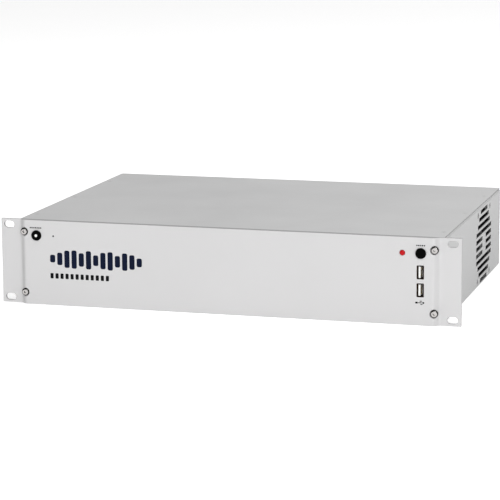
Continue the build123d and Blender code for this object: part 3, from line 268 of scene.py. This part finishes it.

FINISHES = {
    "panel": ["front_panel"],
    "case": ["chassis_tub"],
    "cover": ["top_cover"],
    "rear": ["rear_panel", "option_covers"],
    "bright": ["panel_screws"],
    "painted_screw": ["cover_screws"],
    "zinc": ["rear_panel_screws", "board_screws", "panel_nuts", "dsub_jackscrews"],
    "black_oxide": ["connector_screws", "fan_screws"],
    "nickel": ["bnc_connectors", "dsub_shells", "network_port", "inlet_pins", "xlr_latch_lower",
               "xlr_latch_upper"],
    "die_cast": ["xlr_input_shells", "xlr_output_shells"],
    "knurled": ["thumbscrews"],
    "gold": ["xlr_output_pins"],
    "port_shell": ["usb_shells"],
    "port_tongue": ["usb_tongues"],
    "button": ["power_button", "network_button"],
    "black": ["inlet_housing", "fuse_drawer", "rocker_frame", "rocker", "xlr_input_inserts",
              "xlr_output_bases", "dsub_inserts", "switch_bodies", "module_sockets"],
    "fan": ["fan_frame", "fan_rotor"],
    "white": ["board_headers", "bnc_inserts"],
    "board_green": ["main_board", "connector_board", "control_board", "network_board", "signal_modules"],
    "board_brown": ["power_board"],
    "chip": ["main_board_chips"],
    "sink_black": ["module_heatsinks"],
    "sink_silver": ["power_heatsinks"],
    "sleeve": ["power_capacitors"],
    "ferrite": ["transformer_core"],
    "tape": ["transformer_winding"],
    "copper": ["fan_motor"],
    "ribbon": ["ribbon_cables"],
    "wire_red": ["low_voltage_wires"],
    "wire_brown": ["mains_wires"],
    "brass": ["standoffs"],
    "glass": ["fuse"],
    "lens_red": ["power_lamp"],
    "lens_white": ["network_button_lens"],
}
for finish, members in FINISHES.items():
    for name in members:
        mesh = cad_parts[name].data
        mesh.materials.clear()
        mesh.materials.append(MATERIALS[finish])

# A hair of bevel on the machined and folded edges, in mm, so that they catch the light.
SOFT_EDGES = {
    "front_panel": 0.18, "top_cover": 0.25, "chassis_tub": 0.15, "rear_panel": 0.15,
    "option_covers": 0.25, "panel_screws": 0.08, "thumbscrews": 0.12, "usb_shells": 0.08,
}
for name, width in SOFT_EDGES.items():
    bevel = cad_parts[name].modifiers.new("soft_edge", "BEVEL")
    bevel.width = width * MM
    bevel.segments = 2
    bevel.limit_method = "ANGLE"
    bevel.angle_limit = math.radians(40)
    bevel.use_clamp_overlap = True


# ---- Mesh helpers -----------------------------------------------------------------------------------
def front_point(u, v, out):
    """A point over the front face: u to the right of the middle, v up, out towards the viewer, in mm."""
    return Vector((u * MM, FACE_Y - out * MM, v * MM))


def rear_point(u, v, out):
    """A point over the rear panel: u across to the right seen from behind, v up, out to the rear, in mm."""
    return Vector((-u * MM, REAR_Y + out * MM, v * MM))


def rounded(u, v, width, height, radius, steps=5):
    """Outline of a rounded rectangle round (u, v), counterclockwise."""
    radius = min(radius, width / 2 - 0.001, height / 2 - 0.001)
    points = []
    for corner, (sx, sy) in enumerate(((1, 1), (-1, 1), (-1, -1), (1, -1))):
        for step in range(steps + 1):
            angle = math.radians(90 * corner + 90 * step / steps)
            points.append((u + sx * (width / 2 - radius) + radius * math.cos(angle),
                           v + sy * (height / 2 - radius) + radius * math.sin(angle)))
    return points


def ring(u, v, outer, inner, start=0, sweep=360, steps=40):
    """Outline of an arc band round (u, v), from start through sweep degrees."""
    angles = [math.radians(start + sweep * step / steps) for step in range(steps + 1)]
    far = [(u + outer * math.cos(angle), v + outer * math.sin(angle)) for angle in angles]
    near = [(u + inner * math.cos(angle), v + inner * math.sin(angle)) for angle in reversed(angles)]
    return far + near


def disc(u, v, radius, steps=12):
    """Outline of a circle round (u, v)."""
    angles = [2 * math.pi * step / steps for step in range(steps)]
    return [(u + radius * math.cos(angle), v + radius * math.sin(angle)) for angle in angles]


def frame_outline(u, v, width, height, radius, stroke):
    """A closed band along a rounded rectangle, as two half bands so that each is a simple outline."""
    outer = rounded(u, v, width, height, radius, 4)
    inner = rounded(u, v, width - 2 * stroke, height - 2 * stroke, max(radius - stroke, 0.05), 4)
    half = len(outer) // 2
    first = outer[:half + 1] + list(reversed(inner[:half + 1]))
    second = outer[half:] + outer[:1] + inner[:1] + list(reversed(inner[half:]))
    return [first, second]


def add_prism(bm, outline, place, low, high):
    """A closed prism over an outline of (u, v) points, from low to high over the face that place maps to."""
    bottom = [bm.verts.new(place(u, v, low)) for u, v in outline]
    top = [bm.verts.new(place(u, v, high)) for u, v in outline]
    bm.faces.new(top)
    bm.faces.new(list(reversed(bottom)))
    for index in range(len(outline)):
        after = (index + 1) % len(outline)
        bm.faces.new((bottom[index], bottom[after], top[after], top[index]))


def finish_piece(bm, name, finish, body="chassis"):
    """Makes the mesh an object with one of the finishes, riding on a body."""
    bmesh.ops.recalc_face_normals(bm, faces=bm.faces)
    mesh = bpy.data.meshes.new(name)
    bm.to_mesh(mesh)
    bm.free()
    mesh.materials.append(MATERIALS[finish])
    piece = bpy.data.objects.new(name, mesh)
    bpy.context.scene.collection.objects.link(piece)
    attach(piece, body)


INK_LOW, INK_HIGH = 0.004, 0.05  # mm over the face


def printed(name, outlines, finish, place, body="chassis"):
    """Ink or paint printed on a face: thin closed prisms that stand on it."""
    bm = bmesh.new()
    for outline in outlines:
        add_prism(bm, outline, place, INK_LOW, INK_HIGH)
    finish_piece(bm, name, finish, body)


# ---- Printed marks on the front: plain shapes, no lettering -----------------------------------------
LEVEL_HEIGHTS = (8, 13, 18, 19, 14, 19, 11, 17, 19, 12, 18, 15, 9)
LEVEL_LEFT, LEVEL_RIGHT, LEVEL_V = -187.8, -86.0, 48.9
BLOCK_LEFT, BLOCK_RIGHT, BLOCK_V = -187.7, -121.8, 30.9
BLOCK_COUNT = 12
CAPTION_V = 80.2
DASH_PITCH, DASH_WIDTHS, DASH_HEIGHT = 1.9, (1.2, 1.5), 1.3
PORT_MARK_V = 23.0

level_pitch = (LEVEL_RIGHT - LEVEL_LEFT) / len(LEVEL_HEIGHTS)
level_bars = [
    rounded(LEVEL_LEFT + level_pitch * (index + 0.5), LEVEL_V, level_pitch * 0.72, height, 1.8)
    for index, height in enumerate(LEVEL_HEIGHTS)
]
printed("level_graphic", level_bars, "ink_navy", front_point)

block_pitch = (BLOCK_RIGHT - BLOCK_LEFT) / BLOCK_COUNT
blocks = [
    rounded(BLOCK_LEFT + block_pitch * (index + 0.5), BLOCK_V, block_pitch * 0.62, 5.6, 0.8)
    for index in range(BLOCK_COUNT)
]
printed("block_graphic", blocks, "ink_black", front_point)

for name, middle, count in (("network_mark", -202.0, 7), ("power_mark", 201.1, 5)):
    first = middle - (count - 1) / 2 * DASH_PITCH
    dashes = [
        rounded(first + index * DASH_PITCH, CAPTION_V, DASH_WIDTHS[index % 2], DASH_HEIGHT, 0.3)
        for index in range(count)
    ]
    printed(name, dashes, "ink_black", front_point)

port_mark = [
    rounded(197.4, PORT_MARK_V, 2.6, 1.8, 0.4),
    rounded(200.9, PORT_MARK_V, 3.6, 0.8, 0.2),
    disc(204.2, PORT_MARK_V, 1.0),
    rounded(201.6, PORT_MARK_V + 1.6, 2.2, 0.8, 0.2),
    rounded(202.4, PORT_MARK_V - 1.6, 2.2, 0.8, 0.2),
]
printed("port_mark", port_mark, "ink_black", front_point)

# ---- Painted shade in the reset pinhole and round the front ports; their contacts -------------------
PINHOLE_U, PINHOLE_V = -182.8, 72.3
PORT_U, PORT_ROWS = 201.0, (53.4, 35.5)
# size and band width of the painted shade round each port
PORT_SHADE_SIZE, PORT_SHADE_BAND = (7.36, 13.86), 0.34
TONGUE_SIDE = 0.05  # the side of the tongue that carries the contacts, right of the port's middle
TONGUE_CONTACTS = ((-3.5, 2.2), (-1.0, 3.0), (1.0, 3.0), (3.5, 2.2))  # height, and how deep each one starts
CONTACT_END = 8.4
TAB_HEIGHTS, TAB_HALF_WIDTH = (-3.4, 3.4), 0.85
TAB_START, TAB_LENGTH, TAB_BULGE = 1.0, 7.0, 0.38
PORT_WALL = 2.7  # from the middle of a port to the inside of its shell

# painted shade: a black sleeve inside the reset pinhole
bm = bmesh.new()
add_prism(bm, ring(PINHOLE_U, PINHOLE_V, 0.88, 0.35), front_point, -2.8, 0.02)
finish_piece(bm, "pinhole_shade", "button")

bm = bmesh.new()
for row in PORT_ROWS:  # painted shade: a black band in the gap between each shell and the panel
    for outline in frame_outline(PORT_U, row, *PORT_SHADE_SIZE, 0.78, PORT_SHADE_BAND):
        add_prism(bm, outline, front_point, -2.4, 0.02)
finish_piece(bm, "port_gap_shade", "button")

bm = bmesh.new()
for row in PORT_ROWS:
    for height, start in TONGUE_CONTACTS:

        def on_tongue(u, v, out, row=row):
            return Vector(((PORT_U + TONGUE_SIDE + out) * MM, FACE_Y + u * MM, (row + v) * MM))

        contact = rounded(start / 2 + CONTACT_END / 2, height, CONTACT_END - start, 1.0, 0.3)
        add_prism(bm, contact, on_tongue, 0.002, 0.14)
finish_piece(bm, "usb_contacts", "gold")

bm = bmesh.new()
for row in PORT_ROWS:  # the sprung tabs pressed in from the long sides of each shell
    for height in TAB_HEIGHTS:
        for side in (-1, 1):

            def on_wall(u, v, out, row=row, side=side):
                bulge = TAB_BULGE * math.cos(math.pi * (u - 4.5) / 7.2) ** 2
                across = PORT_U + side * (PORT_WALL - out - bulge)
                return Vector((across * MM, FACE_Y + u * MM, (row + v) * MM))

            stations = [TAB_START + TAB_LENGTH * step / 8 for step in range(9)]
            lower = [(u, height - TAB_HALF_WIDTH) for u in stations]
            upper = [(u, height + TAB_HALF_WIDTH) for u in reversed(stations)]
            add_prism(bm, lower + upper, on_wall, 0.002, 0.2)
finish_piece(bm, "usb_spring_tabs", "port_shell")

# ---- Rear panel: contacts of the connectors ---------------------------------------------------------
XLR_ROWS = (23, 64)
XLR_INPUT_U, XLR_OUTPUT_U = 68, 36
XLR_PIN_CIRCLE = 3.6
BNC_U, BNC_ROWS = 6, (24, 62)
DSUB_U, DSUB_ROWS = -40, (24, 62)
DSUB_PITCH, DSUB_HALF_GAP, DSUB_PIN = 2.77, 1.42, 0.5
NETWORK_U, NETWORK_V = 96, 34
NETWORK_PITCH = 1.02
INLET_U, ROCKER_U, ROCKER_V = 186, 146, 45
OPTION_U, OPTION_ROWS = -161.5, (16.5, 43.5, 70.5)

bm = bmesh.new()
for row in DSUB_ROWS:
    for count, height in ((13, DSUB_HALF_GAP), (12, -DSUB_HALF_GAP)):
        for index in range(count):
            across = DSUB_U + (index - (count - 1) / 2) * DSUB_PITCH
            add_prism(bm, disc(across, row + height, DSUB_PIN), rear_point, 1.0, 5.3)
finish_piece(bm, "dsub_contacts", "gold")

bm = bmesh.new()
for row in XLR_ROWS:
    for turn in range(3):
        angle = math.radians(-90 + 120 * turn)
        u, v = XLR_INPUT_U + XLR_PIN_CIRCLE * math.cos(angle), row + XLR_PIN_CIRCLE * math.sin(angle)
        add_prism(bm, ring(u, v, 1.25, 0.95, steps=16), rear_point, -11.0, -1.4)
finish_piece(bm, "xlr_input_contacts", "gold")

bm = bmesh.new()
for row in BNC_ROWS:
    add_prism(bm, ring(BNC_U, row, 0.66, 0.4, steps=14), rear_point, 6.5, 12.4)
finish_piece(bm, "bnc_contacts", "gold")

bm = bmesh.new()
for index in range(8):  # eight sprung wires that slope down into the network port

    def on_slope(u, v, out, index=index):
        across = NETWORK_U + (index - 3.5) * NETWORK_PITCH + v
        height = NETWORK_V + 4.45 - 0.34 * max(0.0, 7.0 - u) - out
        return rear_point(across, height, -u)

    stations = [1.4 + 9.6 * step / 10 for step in range(11)]
    wire = [(u, -0.18) for u in stations] + [(u, 0.18) for u in reversed(stations)]
    add_prism(bm, wire, on_slope, 0.0, 0.28)
finish_piece(bm, "network_contacts", "gold")

bm = bmesh.new()
for side in (-1, 1):  # the two lamps under the network port
    add_prism(bm, rounded(NETWORK_U + side * 5.6, NETWORK_V - 5.0, 2.6, 1.5, 0.3), rear_point, 0.61, 0.8)
finish_piece(bm, "network_lamps", "lens_white")


# ---- Rear panel: printed marks ----------------------------------------------------------------------
def triangle(u, v, size, way):
    """A pointer to the right with way 1, to the left with -1."""
    return [(u - size * way, v + size * 0.8), (u - size * way, v - size * 0.8), (u + size * way, v)][::way]


def dots_across(u, v, count, pitch, radius):
    return [disc(u + (index - (count - 1) / 2) * pitch, v, radius) for index in range(count)]


def dots_up(u, v, count, pitch, radius):
    return [disc(u, v + (index - (count - 1) / 2) * pitch, radius) for index in range(count)]


marks = []
marks += frame_outline((XLR_INPUT_U + XLR_OUTPUT_U) / 2, 43.5, 66, 79, 3, 0.5)
marks += frame_outline(DSUB_U, 43, 61, 56, 3, 0.5)
marks += frame_outline(BNC_U, 43, 20, 56, 3, 0.5)
marks += [triangle(XLR_INPUT_U, 43.5, 1.8, -1), triangle(XLR_OUTPUT_U, 43.5, 1.8, 1)]
for count, row in enumerate(OPTION_ROWS, start=1):  # one to three dots number the rows from the bottom
    marks += dots_up(OPTION_U + 51.1, row, count, 2.6, 0.6)
for count, row in zip((2, 1), XLR_ROWS):
    for column in (XLR_INPUT_U, XLR_OUTPUT_U):
        marks += dots_up(column + 14.3, row, count, 2.2, 0.5)
for count, row in zip((2, 1), DSUB_ROWS):
    marks += dots_across(DSUB_U, row + 9.5, count, 2.4, 0.6)
    marks += dots_across(BNC_U, row + 11.5, count, 2.4, 0.6)
for side, rise in ((-1, 0), (0, 1.4), (1, 0)):  # three blocks over the network port
    marks.append(rounded(NETWORK_U + side * 3.4, NETWORK_V + 10.5 + rise, 2.2, 1.6, 0.3))
marks += frame_outline(116, 71, 30, 14, 1, 0.4)
marks += [rounded(116, 74.5 - 3.0 * index, 22 - 4 * (index % 2), 0.7, 0.3) for index in range(3)]
printed("rear_marks", marks, "ink_white", rear_point)

# ---- The two signs of the mains rocker, each on its own sloping half --------------------------------
ROCKER_TILT = math.radians(10)
ROCKER_SLOPE = math.atan(0.176)  # of each half of the rocker's face
ROCKER_RISE = 2.6  # from the pivot to the ridge between the halves
SIGN_V = 6.4
PIVOT = Vector((-ROCKER_U * MM, REAR_Y - 3.0 * MM, ROCKER_V * MM))


def rocker_point(half):
    """A point over the upper half of the rocker with half 1, over its lower half with -1."""
    along = Vector((0, -math.sin(ROCKER_TILT), math.cos(ROCKER_TILT)))
    outward = Vector((0, math.cos(ROCKER_TILT), math.sin(ROCKER_TILT)))
    run = (along * math.cos(ROCKER_SLOPE) * half + outward * math.sin(ROCKER_SLOPE)).normalized()
    rise = (outward * math.cos(ROCKER_SLOPE) - along * half * math.sin(ROCKER_SLOPE)).normalized()

    def place(u, v, out):
        ridge = PIVOT + outward * ROCKER_RISE * MM
        return ridge + run * (v * MM) + rise * (out * MM) + Vector((-u * MM, 0, 0))

    return place


printed("rocker_on_sign", [rounded(0, SIGN_V, 0.9, 4.4, 0.4)], "ink_white", rocker_point(1), "rocker_body")
printed("rocker_off_sign", [ring(0, SIGN_V, 2.4, 1.6)], "ink_white", rocker_point(-1), "rocker_body")

# ---- The two caps of the fuse -----------------------------------------------------------------------
FUSE_V = 59.0
CAP_RADIUS, CAP_LENGTH = 2.68, 5.8

bm = bmesh.new()
for start in (-0.7, -14.9):

    def on_fuse(u, v, out, start=start):
        return rear_point(INLET_U + u, FUSE_V + v, start - out)

    add_prism(bm, disc(0, 0, CAP_RADIUS, 24), on_fuse, 0.0, CAP_LENGTH)
finish_piece(bm, "fuse_caps", "nickel", "fuse_drawer_body")


# ---- Studio -----------------------------------------------------------------------------------------
FLOOR_HALF = 14.0
AIM = (0, 0, 0.05)


def area_light(name, position, target, size, power):
    data = bpy.data.lights.new(name, "AREA")
    data.shape = "RECTANGLE"
    data.size, data.size_y = size
    data.energy = power
    light = bpy.data.objects.new(name, data)
    light.location = position
    light.rotation_euler = (Vector(target) - Vector(position)).to_track_quat("-Z", "Y").to_euler()
    bpy.context.scene.collection.objects.link(light)


def pale_floor():
    """A plain white floor with a faint glow of its own, so that it stays as pale as a studio sweep."""
    mesh = bpy.data.meshes.new("floor")
    bm = bmesh.new()
    bmesh.ops.create_grid(bm, x_segments=8, y_segments=8, size=FLOOR_HALF)
    bm.to_mesh(mesh)
    bm.free()
    material = surface("floor_white", (0.93, 0.93, 0.93), spread=0.004, roughness=(0.6, 0.7), grain=60,
                       bump=0.02, cloud=2)
    shader = material.node_tree.nodes["Principled BSDF"]
    shader.inputs["Emission Color"].default_value = (1, 1, 1, 1)
    shader.inputs["Emission Strength"].default_value = 0.50
    mesh.materials.append(material)
    floor = bpy.data.objects.new("floor", mesh)
    bpy.context.scene.collection.objects.link(floor)


def pale_world():
    """White all round, but dim on the left, as beside a black card."""
    world = bpy.data.worlds.new("studio")
    bpy.context.scene.world = world
    world.use_nodes = True
    tree = world.node_tree
    direction = tree.nodes.new("ShaderNodeTexCoord")
    split = tree.nodes.new("ShaderNodeSeparateXYZ")
    change = tree.nodes.new("ShaderNodeMapRange")
    change.inputs["From Min"].default_value = -1.0
    change.inputs["From Max"].default_value = 1.0
    ramp = tree.nodes.new("ShaderNodeValToRGB")
    stops = ramp.color_ramp.elements
    stops[0].position, stops[1].position = 0.31, 0.92
    stops[0].color, stops[1].color = (0.04, 0.04, 0.04, 1), (0.45, 0.45, 0.45, 1)
    for position in (0.46, 0.64):
        stop = stops.new(position)
        stop.color = (1, 1, 1, 1)
    background = tree.nodes["Background"]
    background.inputs["Strength"].default_value = 0.78
    tree.links.new(direction.outputs["Generated"], split.inputs["Vector"])
    tree.links.new(split.outputs["X"], change.inputs["Value"])
    tree.links.new(change.outputs["Result"], ramp.inputs["Fac"])
    tree.links.new(ramp.outputs["Color"], background.inputs["Color"])


def add_camera():
    data = bpy.data.cameras.new("camera")
    data.lens = 158.7
    data.sensor_width = 36.0
    camera = bpy.data.objects.new("camera", data)
    camera.location = (0.6280, -2.2525, 0.4758)
    camera.rotation_euler = Euler(tuple(math.radians(angle) for angle in (79.336, 0.318, 16.031)))
    bpy.context.scene.collection.objects.link(camera)
    bpy.context.scene.camera = camera
    bpy.context.scene.view_settings.view_transform = "Standard"


pale_floor()
pale_world()
area_light("key", (1.2, -2.5, 1.9), AIM, (1.8, 1.4), 36)
area_light("top", (0.1, 0.9, 3.0), AIM, (2.0, 2.0), 24)
area_light("fill", (-1.0, 1.2, 1.2), (-0.1, 0.05, 0.08), (0.8, 0.8), 2.0)
add_camera()
